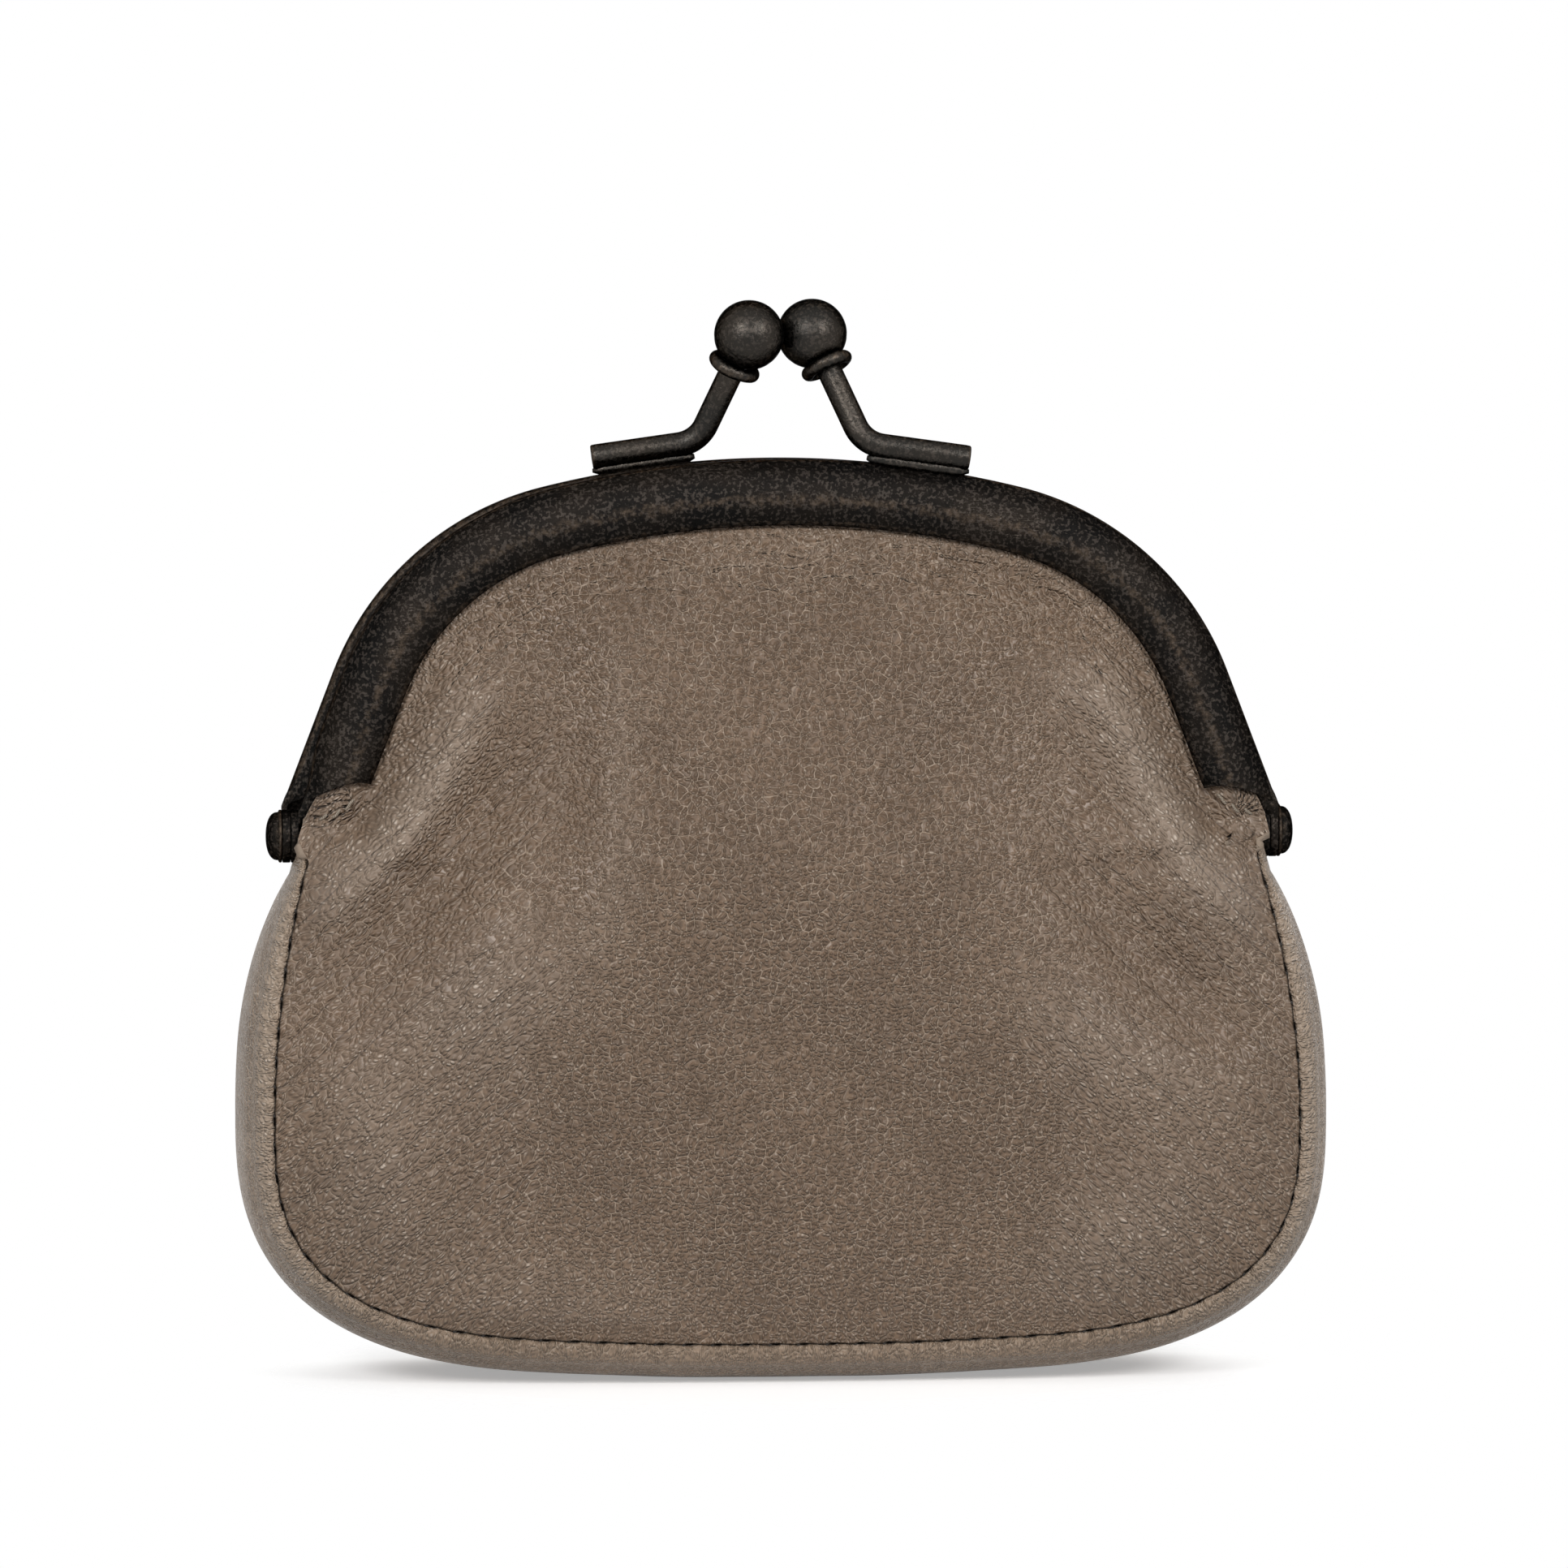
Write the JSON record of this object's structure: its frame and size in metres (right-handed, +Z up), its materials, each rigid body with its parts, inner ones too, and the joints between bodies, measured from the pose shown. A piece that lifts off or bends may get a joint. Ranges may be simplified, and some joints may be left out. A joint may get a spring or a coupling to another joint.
{
  "type": "kiss lock frame purse",
  "caption": "Small gusseted leather coin purse on an arched two-part metal frame that snaps shut with a pair of crossed ball posts.",
  "frame": {"origin": "middle of the flat base that the purse stands on", "axes": "+Z up to the clasp, -Y out of the front panel, +X to the right seen from the front, along the frame"},
  "size_m": [0.1114, 0.0332, 0.1093],
  "materials": {
    "frame_metal": "blackened gunmetal plating, satin, worn brown along the edges",
    "clasp_metal": "blackened gunmetal plating, polished by handling",
    "leather": "taupe pebble-grain leather, soft, with a dull sheen",
    "gusset_leather": "the same leather, smoother and lighter along its rolled edges",
    "lining": "plain woven cotton",
    "paper_cord": "twisted kraft paper",
    "seam_thread": "waxed thread, dark",
    "tack_thread": "pale cotton thread"
  },
  "bodies": {
    "bag": {"gusset": "gusset_leather", "gusset_lining": "lining", "front_panel_lower": "leather", "rear_panel_lower": "leather", "front_lining_lower": "lining", "rear_lining_lower": "lining", "front_seam_thread": "seam_thread", "rear_seam_thread": "seam_thread", "left_rivet": "frame_metal", "right_rivet": "frame_metal"},
    "front_half": {"front_frame": "frame_metal", "front_clasp_foot": "clasp_metal", "front_packing_cord": "paper_cord", "front_panel_upper": "leather", "front_lining_upper": "lining", "front_tacks": "tack_thread"},
    "rear_half": {"rear_frame": "frame_metal", "rear_clasp_foot": "clasp_metal", "rear_packing_cord": "paper_cord", "rear_panel_upper": "leather", "rear_lining_upper": "lining", "rear_tacks": "tack_thread"},
    "front_clasp": {"front_clasp_post": "clasp_metal", "front_collar": "clasp_metal", "front_ball": "clasp_metal"},
    "rear_clasp": {"rear_clasp_post": "clasp_metal", "rear_collar": "clasp_metal", "rear_ball": "clasp_metal"}
  },
  "joints": [
    {"name": "front_swing", "type": "hinge", "parent": "bag", "child": "front_half", "pos_m": [0, 0, 0.055], "axis": [1, 0, 0], "range_deg": [0, 40]},
    {"name": "rear_swing", "type": "hinge", "parent": "bag", "child": "rear_half", "pos_m": [0, 0, 0.055], "axis": [-1, 0, 0], "range_deg": [0, 40]},
    {"name": "front_clasp_flex", "type": "hinge", "parent": "front_half", "child": "front_clasp", "pos_m": [0.01072, -0.00089, 0.09781], "axis": [-0.044, 0.9487, -0.3131], "range_deg": [0, 2.5], "stiffness_Nm_per_rad": 3},
    {"name": "rear_clasp_flex", "type": "hinge", "parent": "rear_half", "child": "rear_clasp", "pos_m": [-0.01072, 0.00089, 0.09781], "axis": [0.044, -0.9487, -0.3131], "range_deg": [0, 2.5], "stiffness_Nm_per_rad": 3}
  ],
  "couplings": [
    {"joint": "rear_swing", "follows": "front_swing", "ratio": 1}
  ]
}
